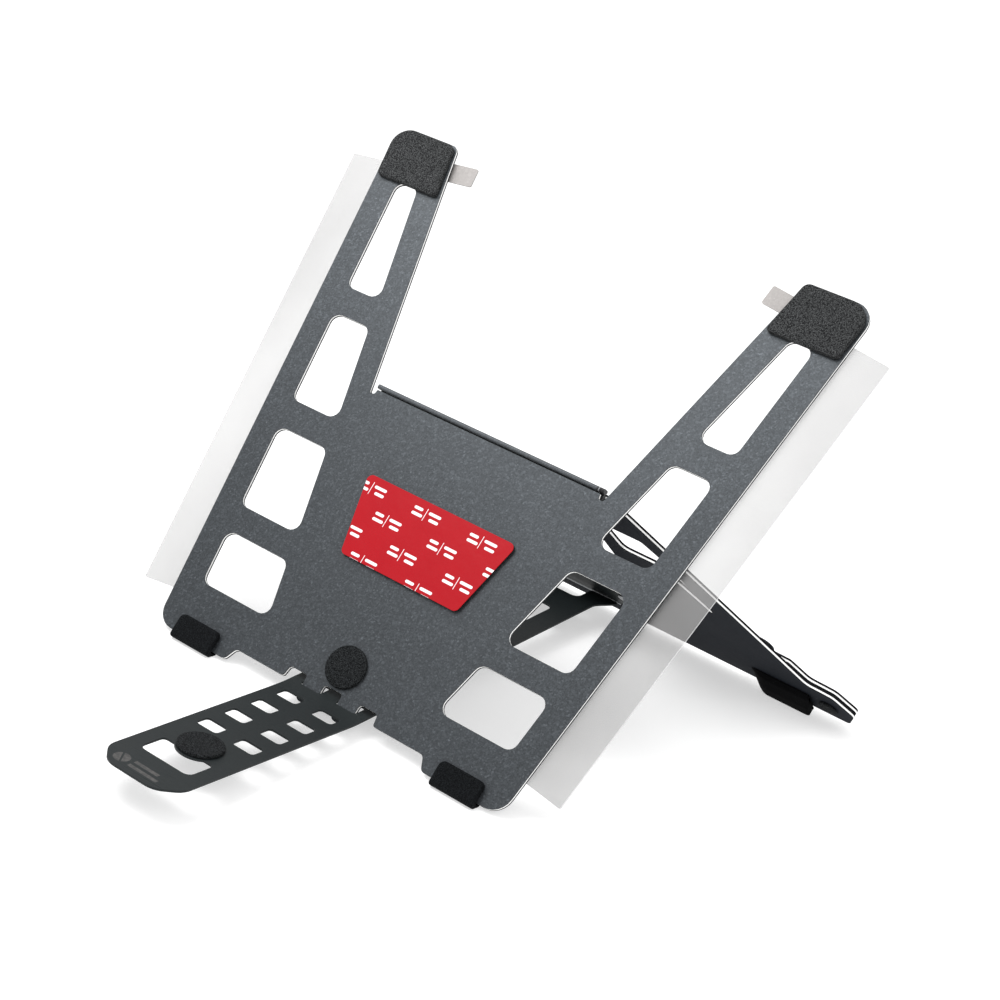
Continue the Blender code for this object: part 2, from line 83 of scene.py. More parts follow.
SIDES = (("R", 1), ("L", -1))
PLATE_AXES = (X_AXIS, PLATE_V, PLATE_N)
LEG_AXES = (-X_AXIS, LEG_W, LEG_D)

# Depth and inset, in millimetres, of each ring round a sandwich sheet's edge: thin front skin,
# slightly sunk light core, dark layer behind it.
SHEET_RINGS = ((0.0, 0.10), (0.10, 0.0), (0.30, 0.0), (0.32, 0.05), (1.08, 0.05), (1.10, 0.0),
               (1.92, 0.0), (2.0, 0.08))
CORE_FROM, CORE_TO = 0.00031, 0.00109      # depths in metres between which the core shows


def plate_point(x, v, n):
    """Plate coordinates in millimetres (across, up the plate, out of its face) in the row frame."""
    x, v, n = np.broadcast_arrays(x, v, n)
    return PLATE_O + MM * (x[..., None] * X_AXIS + v[..., None] * PLATE_V + n[..., None] * PLATE_N)


def leg_point(x, w, d):
    """Leg coordinates in millimetres (across, down the leg, towards the table) in the row frame."""
    x, w, d = np.broadcast_arrays(x, w, d)
    return HINGE + MM * (x[..., None] * X_AXIS + w[..., None] * LEG_W + d[..., None] * LEG_D)


def nose_point(x, y, n):
    """Free-end coordinates in millimetres (across, out from the bend, up) in the row frame."""
    x, y, n = np.broadcast_arrays(x, y, n)
    return BEND + MM * (x[..., None] * X_AXIS + y[..., None] * NOSE_Y + n[..., None] * NOSE_N)


# ---------------------------------------------------------------- shapes as arrays
# Edges turned by more than these degrees shade as corners.
SHELL_SHARP, SHEET_SHARP, STRIP_SHARP = 42, 36, 50
WELD_GAP = 0.000005     # points nearer than this are one point
CAP_SLACK = 0.05        # a front cap's points lie this near its plane, in millimetres
MITRE_FLOOR = 0.35      # keeps the mitre of a very sharp corner short
CAP_RINGS = 14          # rings across a pad's crowned top
TABLE_SKIN = 0.00001    # a wrapped pad rests this far above the table


def round_loop(corners, steps=8):
    """Closed outline through corners (x, y, r): each corner is an arc of radius r that touches both
    sides, cut short where its tangents would reach past 0.48 of a side."""
    pts = np.array([c[:2] for c in corners], float)
    rad = np.array([c[2] for c in corners], float)
    to_last, to_next = np.roll(pts, 1, 0) - pts, np.roll(pts, -1, 0) - pts
    len_last = np.linalg.norm(to_last, axis=1)
    len_next = np.linalg.norm(to_next, axis=1)
    a, b = to_last / len_last[:, None], to_next / len_next[:, None]
    half = np.arccos(np.clip((a * b).sum(1), -1, 1)) / 2
    back = np.minimum(rad / np.tan(half), 0.48 * np.minimum(len_last, len_next))
    true_r = back * np.tan(half)
    mid = (a + b) / np.linalg.norm(a + b, axis=1)[:, None]
    centre = pts + mid * (true_r / np.sin(half))[:, None]
    start = pts + a * back[:, None] - centre
    turn = np.sign(b[:, 0] * a[:, 1] - b[:, 1] * a[:, 0]) * (math.pi - 2 * half)
    ang = turn[:, None] * np.linspace(0, 1, steps + 1)[None]
    cos, sin = np.cos(ang), np.sin(ang)
    x = centre[:, :1] + start[:, :1] * cos - start[:, 1:] * sin
    y = centre[:, 1:] + start[:, :1] * sin + start[:, 1:] * cos
    return np.stack((x.ravel(), y.ravel()), 1)


def even_loop(loop, count):
    """The same closed outline with points at even distances along it."""
    ring = np.vstack((loop, loop[:1]))
    dist = np.concatenate(((0.0,), np.cumsum(np.linalg.norm(np.diff(ring, axis=0), axis=1))))
    t = np.arange(count) * dist[-1] / count
    return np.stack((np.interp(t, dist, ring[:, 0]), np.interp(t, dist, ring[:, 1])), 1)


def disc_loop(x, y, r, count):
    """A circle: centre plus r times (cos t, sin t)."""
    t = np.arange(count) * 2 * math.pi / count
    return np.stack((x + r * np.cos(t), y + r * np.sin(t)), 1)


def inward(loop):
    """Unit normals that point into a closed outline: the tangent turned a quarter, its sign from
    the outline's area."""
    tangent = np.roll(loop, -1, 0) - np.roll(loop, 1, 0)
    tangent /= np.linalg.norm(tangent, axis=1)[:, None]
    area = (loop[:, 0] * np.roll(loop[:, 1], -1) - np.roll(loop[:, 0], -1) * loop[:, 1]).sum()
    return np.stack((-tangent[:, 1], tangent[:, 0]), 1) * np.sign(area)


def pillow(loop, base, top, shoulder, crown):
    """Pad on an outline: bottom, upright side, quarter-round shoulder of the given radius, then a
    top that rises by crown as 1 - s squared, s running from the middle (0) to the shoulder (1)."""
    normal = inward(loop)
    centre = loop.mean(0)
    bend = np.linspace(0, math.pi / 2, 7)
    inset = shoulder * (1 - np.cos(bend))
    lift = top - shoulder + shoulder * np.sin(bend)
    edge = loop[None] + normal[None] * inset[:, None, None]
    s = np.linspace(1, 0, CAP_RINGS + 1)[1:-1]
    cap = centre + (edge[-1][None] - centre) * s[:, None, None]
    under = centre + (loop[None] - centre) * np.linspace(0, 1, 5)[1:-1][:, None, None]
    xy = np.concatenate((under, loop[None], edge, cap))
    z = np.concatenate((np.full(4, base), lift, top + crown * (1 - s ** 2)))
    z = np.repeat(z[:, None], len(loop), 1)
    return xy[..., 0], xy[..., 1], z, (centre, base), (centre, top + crown)


def ring_faces(count, around):
    """Quads between count rings of around points each, closed round."""
    row = np.arange(count - 1)[:, None] * around
    first = row + np.arange(around)[None]
    right = row + (np.arange(around)[None] + 1) % around
    return np.stack((first, right, right + around, first + around), -1).reshape(-1, 4)


def closed_mesh(name, points, faces, sharp):
    """Smooth closed mesh with faces outward: the sum of its triangles' a . (b x c) is positive."""
    mesh = bpy.data.meshes.new(name)
    mesh.from_pydata(points.tolist(), [], faces)
    mesh.calc_loop_triangles()
    tri = np.empty(3 * len(mesh.loop_triangles), int)
    mesh.loop_triangles.foreach_get("vertices", tri)
    a, b, c = points[tri.reshape(-1, 3)].transpose(1, 0, 2)
    if (a * np.cross(b, c)).sum() < 0:
        mesh.flip_normals()
    mesh.polygons.foreach_set("use_smooth", np.ones(len(mesh.polygons), bool))
    mesh.set_sharp_from_angle(angle=math.radians(sharp))
    mesh.update()
    return mesh


def shell(name, rings, poles=None):
    """Mesh from rings of points (rings x round x 3): quads between rings, closed round, and a fan
    to a pole at each end."""
    count, around = rings.shape[:2]
    if poles is None:
        poles = (rings[0].mean(0), rings[-1].mean(0))
    low, high = count * around, count * around + 1
    last = low - around
    i, j = np.arange(around), (np.arange(around) + 1) % around
    faces = ring_faces(count, around).tolist()
    faces += np.stack((j, i, np.full(around, low)), -1).tolist()
    faces += np.stack((last + i, last + j, np.full(around, high)), -1).tolist()
    return closed_mesh(name, np.vstack((rings.reshape(-1, 3), *poles)), faces, SHELL_SHARP)


def piece(name, mesh, body, look, *stands_for):
    """Puts a finished mesh in the scene, rides it on its body and hides the nodes it stands for."""
    obj = bpy.data.objects.new(name, mesh)
    bpy.context.scene.collection.objects.link(obj)
    mesh.materials.clear()
    mesh.materials.append(look)
    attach(obj, body)
    if stands_for:
        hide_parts(*stands_for)
    return obj


def foam_pad(name, mesh, body, look, node):
    """A rebuilt foam pad: a piece that stands for its node."""
    pad = piece(name, mesh, body, look, node)


def dress(node, look, soften=0.0):
    """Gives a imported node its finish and, where asked, welded and slightly broken edges."""
    obj = frame["nodes"][node]
    for slot in obj.material_slots:
        slot.material = look
    if not obj.material_slots:
        obj.data.materials.append(look)
    if soften > 0:
        weld = obj.modifiers.new("weld", "WELD")
        weld.merge_threshold = WELD_GAP
        edge = obj.modifiers.new("broken_edge", "BEVEL")
        edge.width = soften * MM
        edge.segments = 2
        edge.limit_method = "ANGLE"
        edge.angle_limit = math.radians(STRIP_SHARP)
    return obj


def sheet_shell(name, node, origin, axes, front, rings):
    """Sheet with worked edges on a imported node's outline. The rim is every directed edge of the
    front cap that has no twin. A ring is the outline moved in along its mitres by an inset and back
    by a depth, both in millimetres. Walls join neighbouring rings, and both caps keep the node's
    faces."""
    flat = frame["nodes"][node].data
    flat.calc_loop_triangles()
    place = np.empty(3 * len(flat.vertices))
    flat.vertices.foreach_get("co", place)
    tri = np.empty(3 * len(flat.loop_triangles), int)
    flat.loop_triangles.foreach_get("vertices", tri)
    local = (place.reshape(-1, 3) - origin) @ np.array(axes).T / MM
    points, same = np.unique(local.round(3), axis=0, return_inverse=True)
    tri = same.ravel()[tri].reshape(-1, 3)
    cap = tri[(np.abs(points[tri][:, :, 2] - front) < CAP_SLACK).all(1)]
    cap = cap[(cap != np.roll(cap, 1, 1)).all(1)]
    used, cap = np.unique(cap, return_inverse=True)
    cap = cap.reshape(-1, 3)
    edge = np.concatenate((cap[:, (0, 1)], cap[:, (1, 2)], cap[:, (2, 0)]))
    code, twin = edge @ (len(used), 1), edge @ (1, len(used))
    edge = edge[~np.isin(code, twin)]
    if len(edge) != len(used):
        raise RuntimeError(f"{node}: its front cap has points off its rim")
    xy = points[used, :2]
    last = np.empty(len(used), int)
    last[edge[:, 1]] = edge[:, 0]
    ahead = np.empty((len(used), 2))
    ahead[edge[:, 0]] = xy[edge[:, 1]] - xy[edge[:, 0]]
    ahead /= np.linalg.norm(ahead, axis=1)[:, None]
    side = np.stack((-ahead[:, 1], ahead[:, 0]), 1)
    mitre = (side + side[last]) / np.maximum(1 + (side * side[last]).sum(1), MITRE_FLOOR)[:, None]
    depth, inset = np.array(rings).T
    ring = xy[None] + mitre[None] * inset[:, None, None]
    away = np.repeat((front - depth)[:, None], len(used), 1)
    grid = np.concatenate((ring, away[..., None]), 2).reshape(-1, 3)
    step = len(used) * np.arange(len(rings) - 1)[:, None]
    a, b = edge[:, 0][None] + step, edge[:, 1][None] + step
    wall = np.stack((b, a, a + len(used), b + len(used)), -1).reshape(-1, 4)
    back = cap[:, ::-1] + len(used) * (len(rings) - 1)
    mesh = bpy.data.meshes.new(name)
    world = origin + MM * grid @ np.array(axes)
    mesh.from_pydata(world.tolist(), [], wall.tolist() + cap.tolist() + back.tolist())
    mesh.polygons.foreach_set("use_smooth", np.arange(len(mesh.polygons)) < len(wall))
    mesh.set_sharp_from_angle(angle=math.radians(SHEET_SHARP))
    mesh.update()
    return mesh


def along(path, count):
    """Points at even distances along an open line."""
    dist = np.concatenate(((0.0,), np.cumsum(np.linalg.norm(np.diff(path, axis=0), axis=1))))
    t = np.linspace(0, dist[-1], count)
    return np.stack((np.interp(t, dist, path[:, 0]), np.interp(t, dist, path[:, 1])), 1)


def ends(low, high, edge, steps):
    """Stations from low to high, closer at both ends, with each one's distance to its end."""
    near = edge * (1 - np.cos(np.linspace(0, math.pi / 2, steps + 1)))
    middle = np.linspace(low + edge, high - edge, 26)[1:-1]
    t = np.concatenate((low + near, middle, high - near[::-1]))
    return t, np.minimum(t - low, high - t)


def quarter(near, edge):
    """Inset of a quarter-round edge at a distance from the end: r - root(r2 - (r - near)2)."""
    t = np.clip(edge - near, 0, edge)
    return edge - np.sqrt(edge ** 2 - t ** 2)


def folded_strip(name, point, stations, near, outer, inner, edge, corner):
    """Pad bent round a sheet's edge: the profile lies between an outer and an inner line with the
    same count of points, its ends are quarter-rounds of the edge radius, and the tops of both legs
    drop round corners of the corner radius. Points on the table stay on it."""
    half = len(outer)
    loop = np.vstack((outer, inner[::-1]))
    floor_v, top_v = loop[:, 0].min(), loop[:, 0].max()
    drop = quarter(near, corner) / (top_v - floor_v)
    ring = loop[None] + inward(loop)[None] * quarter(near, edge)[:, None, None]
    v = floor_v + (ring[..., 0] - floor_v) * (1 - drop[:, None])
    grid = point(np.repeat(stations[:, None], 2 * half, 1), v, ring[..., 1])
    grid[..., 2] = np.maximum(grid[..., 2], TABLE_SKIN)
    count, around = grid.shape[:2]
    faces = ring_faces(count, around)
    i = np.arange(half - 1)
    lid = np.stack((i, 2 * half - 1 - i, 2 * half - 2 - i, i + 1), -1)
    faces = np.vstack((faces, lid, lid[:, ::-1] + (count - 1) * around))
    return closed_mesh(name, grid.reshape(-1, 3), faces.tolist(), STRIP_SHARP)


def pad_on(point, loop, base, top, shoulder, crown):
    """A pillow placed by one of the coordinate functions."""
    x, y, z, low, high = pillow(loop, base, top, shoulder, crown)
    poles = (point(low[0][0], low[0][1], low[1]), point(high[0][0], high[0][1], high[1]))
    return point(x, y, z), poles


# ---------------------------------------------------------------- shader groups
def link(tree, a, b):
    tree.links.new(a, b)


def new_group(name, inputs, outputs):
    """An empty shader group with named sockets: (name, kind, default)."""
    tree = bpy.data.node_groups.new(name, "ShaderNodeTree")
    kinds = {"value": "NodeSocketFloat", "vector": "NodeSocketVector"}
    for label, kind, default in inputs:
        socket = tree.interface.new_socket(label, in_out="INPUT", socket_type=kinds[kind])
        socket.default_value = default
    for label, kind in outputs:
        tree.interface.new_socket(label, in_out="OUTPUT", socket_type=kinds[kind])
    return tree, tree.nodes.new("NodeGroupInput"), tree.nodes.new("NodeGroupOutput")


def maths(tree, kind, a, b=None, c=None):
    """One Math node; a, b and c are sockets or numbers."""
    node = tree.nodes.new("ShaderNodeMath")
    node.operation = kind
    for socket, value in zip(node.inputs, (a, b, c)):
        if value is None:
            continue
        if isinstance(value, (int, float)):
            socket.default_value = value
        else:
            link(tree, value, socket)
    return node.outputs[0]


def dotted(tree, vector, direction):
    """Dot product of a vector socket with a fixed direction or a vector socket."""
    node = tree.nodes.new("ShaderNodeVectorMath")
    node.operation = "DOT_PRODUCT"
    link(tree, vector, node.inputs[0])
    if hasattr(direction, "is_output"):
        link(tree, direction, node.inputs[1])
    else:
        node.inputs[1].default_value = tuple(direction)
    return node.outputs["Value"]


def noise(tree, vector, scale, detail=2.0, rough=0.5):
    """A noise texture's value; scale is in cycles per metre."""
    node = tree.nodes.new("ShaderNodeTexNoise")
    node.inputs["Detail"].default_value = detail
    node.inputs["Roughness"].default_value = rough
    link(tree, vector, node.inputs["Vector"])
    if isinstance(scale, (int, float)):
        node.inputs["Scale"].default_value = scale
    else:
        link(tree, scale, node.inputs["Scale"])
    return node.outputs["Fac"]


def cells(tree, vector, scale, feature="F1", output="Distance"):
    """A Voronoi texture; scale is a socket, in cells per metre."""
    node = tree.nodes.new("ShaderNodeTexVoronoi")
    node.feature = feature
    link(tree, vector, node.inputs["Vector"])
    link(tree, scale, node.inputs["Scale"])
    return node.outputs[output]


def mixed(tree, factor, a, b):
    """Colour a to colour b by a factor socket; each colour is a socket or an RGB triple."""
    node = tree.nodes.new("ShaderNodeMix")
    node.data_type = "RGBA"
    link(tree, factor, node.inputs[0])
    for socket, value in ((node.inputs[6], a), (node.inputs[7], b)):
        if isinstance(value, (tuple, list)):
            socket.default_value = (*value[:3], 1.0)
        else:
            link(tree, value, socket)
    return node.outputs[2]


def spread(tree, value, low, high):
    """Map Range that takes low to 0 and high to 1, held at its ends."""
    node = tree.nodes.new("ShaderNodeMapRange")
    node.clamp = True
    link(tree, value, node.inputs["Value"])
    node.inputs["From Min"].default_value = low
    node.inputs["From Max"].default_value = high
    return node.outputs[0]


def position(tree):
    """The point being shaded, in metres; every object's origin is the row frame's."""
    return tree.nodes.new("ShaderNodeTexCoord").outputs["Object"]


def measured(tree, place, axis, origin, unit=MM):
    """How far a point lies from an origin along an axis, in the unit given."""
    axis = np.asarray(axis) / unit
    return maths(tree, "SUBTRACT", dotted(tree, place, axis), float(np.dot(origin, axis)))


def apart(tree, value, middle):
    """How far a value lies from a middle, either way."""
    return maths(tree, "ABSOLUTE", maths(tree, "SUBTRACT", value, middle))


def build_groups():
    """Shader groups that several finishes share."""
    groups = {}

    # Flecks of metallic lacquer: fine noise and sparse bright cells, with a matching height.
    tree, into, out = new_group("lacquer_fleck", (("Cells per metre", "value", 2600.0),
                                                  ("Contrast", "value", 0.3)),
                                (("Shade", "value"), ("Height", "value")))
    place = position(tree)
    fine = noise(tree, place, into.outputs["Cells per metre"], 3.0, 0.6)
    fleck = cells(tree, place, maths(tree, "MULTIPLY", into.outputs["Cells per metre"], 0.8),
                  output="Color")
    bright = maths(tree, "POWER", dotted(tree, fleck, (0.5, 0.3, 0.2)), 3.0)
    both = maths(tree, "ADD", maths(tree, "SUBTRACT", fine, 0.5),
                 maths(tree, "SUBTRACT", bright, 0.16))
    cloud = maths(tree, "SUBTRACT", noise(tree, place, 26.0, 3.0), 0.5)
    shade = maths(tree, "MULTIPLY_ADD", both, into.outputs["Contrast"], 1.0)
    link(tree, maths(tree, "MULTIPLY_ADD", cloud, 0.10, shade), out.inputs["Shade"])
    link(tree, both, out.inputs["Height"])
    groups["fleck"] = tree

    # Layers of the sandwich sheet, read off the depth: a light core, and a dark layer behind it.
    tree, into, out = new_group("sheet_layers", (("Across", "vector", (0, 0, 1)),
                                                 ("Front face", "value", 0.0),
                                                 ("Core from", "value", CORE_FROM),
                                                 ("Core to", "value", CORE_TO),
                                                 ("Back face", "value", 0.00193)),
                                (("Core", "value"), ("Dark", "value"), ("Back", "value")))
    place = position(tree)
    depth = maths(tree, "SUBTRACT", into.outputs["Front face"],
                  dotted(tree, place, into.outputs["Across"]))
    over = maths(tree, "GREATER_THAN", depth, into.outputs["Core from"])
    under = maths(tree, "LESS_THAN", depth, into.outputs["Core to"])
    behind = maths(tree, "LESS_THAN", depth, into.outputs["Back face"])
    skin = maths(tree, "MULTIPLY", maths(tree, "GREATER_THAN", depth, 0.00007),
                 maths(tree, "SUBTRACT", 1.0, over))
    link(tree, maths(tree, "MULTIPLY", over, under), out.inputs["Core"])
    link(tree, maths(tree, "SUBTRACT", 1.0, behind), out.inputs["Back"])
    far = maths(tree, "MULTIPLY", behind, maths(tree, "SUBTRACT", 1.0, under))
    link(tree, maths(tree, "ADD", far, skin), out.inputs["Dark"])
    groups["layers"] = tree

    # Crumbs of open foam rubber: rounded cells with painted shade in the low pits between them, and
    # a scatter of light grains.
    tree, into, out = new_group("foam_crumb_pit_shade", (("Cells per metre", "value", 1500.0),),
                                (("Shade", "value"), ("Height", "value")))
    place = position(tree)
    size = into.outputs["Cells per metre"]
    crumb = cells(tree, place, size, "SMOOTH_F1")
    painted_pit_shade = spread(tree, crumb, 0.18, 0.62)
    dust = noise(tree, place, maths(tree, "MULTIPLY", size, 1.7), 3.0, 0.65)
    solid = maths(tree, "SUBTRACT", 1.0, painted_pit_shade)
    link(tree, maths(tree, "MULTIPLY", solid, spread(tree, dust, 0.36, 0.68)), out.inputs["Shade"])
    link(tree, maths(tree, "MULTIPLY_ADD", dust, 0.5, solid), out.inputs["Height"])
    groups["crumb"] = tree

    # Handling marks: soft clouds and long faint scuffs, for roughness.
    tree, into, out = new_group("handling", (("Amount", "value", 0.1),), (("Marks", "value"),))
    place = position(tree)
    stretch = tree.nodes.new("ShaderNodeMapping")
    stretch.inputs["Scale"].default_value = (30.0, 260.0, 90.0)
    link(tree, place, stretch.inputs["Vector"])
    scuff = spread(tree, noise(tree, stretch.outputs[0], 6.0, 4.0, 0.6), 0.52, 0.78)
    cloud = maths(tree, "SUBTRACT", noise(tree, place, 38.0, 3.0), 0.5)
    marks = maths(tree, "MULTIPLY_ADD", scuff, 0.6, cloud)
    link(tree, maths(tree, "MULTIPLY", marks, into.outputs["Amount"]), out.inputs["Marks"])
    groups["handling"] = tree
    return groups


GROUPS = {}


def grouped(tree, name, **values):
    """One of the shared groups in a material, with its own values."""
    node = tree.nodes.new("ShaderNodeGroup")
    node.node_tree = GROUPS[name]
    for label, value in values.items():
        node.inputs[label.replace("_", " ")].default_value = value
    return node


def blank(name, rough, metal=0.0, level=0.5):
    """A material with only its Principled shader, and that shader's plain values."""
    mat = bpy.data.materials.new(name)
    mat.use_nodes = True
    tree = mat.node_tree
    tree.nodes.clear()
    out = tree.nodes.new("ShaderNodeOutputMaterial")
    shader = tree.nodes.new("ShaderNodeBsdfPrincipled")
    link(tree, shader.outputs[0], out.inputs["Surface"])
    shader.inputs["Roughness"].default_value = rough
    shader.inputs["Metallic"].default_value = metal
    shader.inputs["Specular IOR Level"].default_value = level
    return mat, tree, shader


def tinted(tree, colour, shade):
    """A colour, as an RGB triple or a socket, times a value socket."""
    node = tree.nodes.new("ShaderNodeVectorMath")
    node.operation = "SCALE"
    if isinstance(colour, tuple):
        node.inputs[0].default_value = colour
    else:
        link(tree, colour, node.inputs[0])
    link(tree, shade, node.inputs["Scale"])
    return node.outputs[0]


def handled(tree, shader, amount, rough):
    """Roughness with handling marks of the amount given."""
    marks = grouped(tree, "handling", Amount=amount)
    link(tree, maths(tree, "ADD", marks.outputs["Marks"], rough), shader.inputs["Roughness"])


def bumped(tree, shader, height, strength, distance):
    """Feeds a height to the shader's normal."""
    node = tree.nodes.new("ShaderNodeBump")
    node.inputs["Strength"].default_value = strength
    node.inputs["Distance"].default_value = distance
    link(tree, height, node.inputs["Height"])
    link(tree, node.outputs[0], shader.inputs["Normal"])


# ---------------------------------------------------------------- finishes
def sheet_finish(name, across, front, colour, back, core,
                 contrast=1.15, rough=0.42, metal=0.55, level=0.35):
    """Metallic lacquer over aluminium skins, with the sheet's light core and dark back layer at its
    edges."""
    mat, tree, shader = blank(name, rough, metal, level)
    fleck = grouped(tree, "fleck", Cells_per_metre=1900.0, Contrast=contrast)
    layers = grouped(tree, "layers", Across=tuple(across), Front_face=float(front))
    marks = grouped(tree, "handling", Amount=0.10)
    # On the leg and its corner layers, colour is a painted-shade copy of the lacquer on the face
    # towards the table, and back is a lighter copy on the back face.
    tint = tinted(tree, mixed(tree, layers.outputs["Back"], colour, back), fleck.outputs["Shade"])
    faced = mixed(tree, layers.outputs["Dark"], tint, (0.006, 0.006, 0.007))
    link(tree, mixed(tree, layers.outputs["Core"], faced, core), shader.inputs["Base Color"])
    edge = maths(tree, "ADD", layers.outputs["Core"], layers.outputs["Dark"])
    worn = maths(tree, "ADD", marks.outputs["Marks"], rough)
    link(tree, maths(tree, "MULTIPLY_ADD", edge, 0.3, worn), shader.inputs["Roughness"])
    link(tree, maths(tree, "MULTIPLY", maths(tree, "SUBTRACT", 1.0, edge), metal),
         shader.inputs["Metallic"])
    bumped(tree, shader, fleck.outputs["Height"], 0.25, 0.00005)
    return mat


def foam_finish(name, dark, light, cells_per_metre=1500.0):
    """Matt crumb foam: painted shade in its low pits, and lighter grains."""
    mat, tree, shader = blank(name, 0.92, 0.0, 0.12)
    crumb = grouped(tree, "crumb", Cells_per_metre=cells_per_metre)
    link(tree, mixed(tree, crumb.outputs["Shade"], dark, light), shader.inputs["Base Color"])
    bumped(tree, shader, crumb.outputs["Height"], 0.9, 0.0004)
    return mat


def plastic_finish(name, colour, rough, fine=1800.0, bump=0.3, level=0.4):
    """Spark-eroded moulded plastic: an even colour with fine pits and handling marks."""
    mat, tree, shader = blank(name, rough, 0.0, level)
    fleck = grouped(tree, "fleck", Cells_per_metre=fine, Contrast=0.12)
    handled(tree, shader, 0.16, rough)
    link(tree, tinted(tree, colour, fleck.outputs["Shade"]), shader.inputs["Base Color"])
    bumped(tree, shader, fleck.outputs["Height"], bump, 0.00008)
    return mat


def bead_finish(name, colour):
    """Lacquered bead with fine rolled lines across it, and a dark plug with a pale ring at its
    right end."""
    mat, tree, shader = blank(name, 0.42, 0.35, 0.4)
    place = position(tree)
    fleck = grouped(tree, "fleck", Cells_per_metre=1900.0, Contrast=0.8)
    x = dotted(tree, place, X_AXIS * 1000)
    rolled = maths(tree, "SINE", maths(tree, "MULTIPLY", x, 2 * math.pi / 1.1))
    tint = tinted(tree, colour, maths(tree, "MULTIPLY_ADD", rolled, 0.08, fleck.outputs["Shade"]))
    plug = maths(tree, "GREATER_THAN", x, 53.7)
    ring = maths(tree, "LESS_THAN", apart(tree, x, 54.6), 0.2)
    ended = mixed(tree, plug, tint, (0.004, 0.004, 0.005))
    link(tree, mixed(tree, ring, ended, (0.22, 0.23, 0.24)), shader.inputs["Base Color"])
    bumped(tree, shader, rolled, 0.35, 0.00008)
    return mat


def wing_finish(name, across, up, origin, colour, alpha):
    """Clear sheet with a satin face: faintly milky, with one slanting paler, clearer streak of
    painted reflection, and a painted highlight on its cut edges."""
    mat, tree, shader = blank(name, 0.22, 0.0, 0.5)
    place = position(tree)
    u = measured(tree, place, across, origin, 1.0)
    w = measured(tree, place, up, origin, 1.0)
    slant = maths(tree, "MULTIPLY_ADD", u, 3.2, w)
    soft = spread(tree, noise(tree, place, 60.0, 2.0), 0.3, 0.7)
    # Painted reflection: a slanting streak across the face, paler and clearer, with a faint random
    # milkiness added.
    painted_sheen_streak = maths(tree, "MULTIPLY", spread(tree, slant, -0.075, 0.01),
                 spread(tree, slant, 0.085, 0.02))
    milkiness_and_painted_sheen = maths(tree, "MULTIPLY_ADD", painted_sheen_streak, 0.07, maths(tree, "MULTIPLY", soft, 0.03))
    # Painted highlight: the cut edges are paler and less clear.
    rim = spread(tree, u, 0.01655, 0.01690)
    link(tree, mixed(tree, maths(tree, "MAXIMUM", milkiness_and_painted_sheen, rim), colour, (0.92, 0.92, 0.93)),
         shader.inputs["Base Color"])
    thin = maths(tree, "MULTIPLY_ADD", milkiness_and_painted_sheen, -0.35, alpha)
    link(tree, maths(tree, "ADD", thin, maths(tree, "MULTIPLY", rim, 0.25)), shader.inputs["Alpha"])
    handled(tree, shader, 0.12, 0.2)
    return mat


def frosted_finish(name, colour):
    """Frosted plastic with a fine sandy grain."""
    mat, tree, shader = blank(name, 0.6, 0.0, 0.4)
    fleck = grouped(tree, "fleck", Cells_per_metre=1500.0, Contrast=0.22)
    link(tree, tinted(tree, colour, fleck.outputs["Shade"]), shader.inputs["Base Color"])
    bumped(tree, shader, fleck.outputs["Height"], 0.5, 0.0001)
    return mat


def liner_finish(name, colour, print_colour):
    """Glossy release film: staggered groups of four plain dashes and an upright hairline, in white.
    q and p are the place within one group, in millimetres up the plate and across it."""
    mat, tree, shader = blank(name, 0.34, 0.0, 0.12)
    place = position(tree)
    x = dotted(tree, place, X_AXIS * 1000)
    v = measured(tree, place, PLATE_V, PLATE_O)
    pitch_up, pitch_across = 9.4, 28.0
    row = maths(tree, "DIVIDE", maths(tree, "ADD", v, 203.2), pitch_up)
    odd = maths(tree, "MODULO", maths(tree, "FLOOR", row), 2.0)
    shifted = maths(tree, "MULTIPLY_ADD", odd, pitch_across / 2, x)
    column = maths(tree, "DIVIDE", maths(tree, "ADD", shifted, 284.0), pitch_across)

    def within(count, pitch):
        """Millimetres from the middle of the group that a running count is in."""
        part = maths(tree, "SUBTRACT", maths(tree, "FRACT", count), 0.5)
        return maths(tree, "MULTIPLY", part, pitch)

    q, p = within(row, pitch_up), within(column, pitch_across)

    def dash(middle, half, level):
        """Rounded dash: distance to a short line segment, under half its thickness."""
        past = maths(tree, "MAXIMUM", maths(tree, "SUBTRACT", apart(tree, p, middle), half), 0.0)
        off = apart(tree, q, level)
        dist = maths(tree, "SQRT", maths(tree, "ADD", maths(tree, "MULTIPLY", past, past),
                                         maths(tree, "MULTIPLY", off, off)))
        return spread(tree, dist, 0.68, 0.56)

    ink = maths(tree, "MULTIPLY", spread(tree, apart(tree, p, -0.9), 0.17, 0.10),
                spread(tree, maths(tree, "ABSOLUTE", q), 2.75, 2.65))
    for middle, half, level in ((-4.9, 1.5, 1.25), (-4.4, 2.0, -1.25),
                                (3.3, 2.4, 1.25), (4.0, 1.7, -1.25)):
        ink = maths(tree, "MAXIMUM", ink, dash(middle, half, level))
    worn = spread(tree, noise(tree, place, 1800.0, 3.0), 0.30, 0.42)
    ink = maths(tree, "MULTIPLY", ink, maths(tree, "MULTIPLY_ADD", worn, 0.3, 0.7))
    patch = maths(tree, "MULTIPLY", maths(tree, "SUBTRACT", noise(tree, place, 70.0), 0.5), 0.5)
    base = mixed(tree, maths(tree, "ADD", patch, 0.5), tuple(0.8 * c for c in colour), colour)
    link(tree, mixed(tree, ink, base, print_colour), shader.inputs["Base Color"])
    ripple = maths(tree, "MULTIPLY_ADD", noise(tree, place, 160.0, 2.0), 1.0,
                   maths(tree, "MULTIPLY", noise(tree, place, 1400.0, 2.0), 0.06))
    bumped(tree, shader, ripple, 0.35, 0.0003)
    return mat


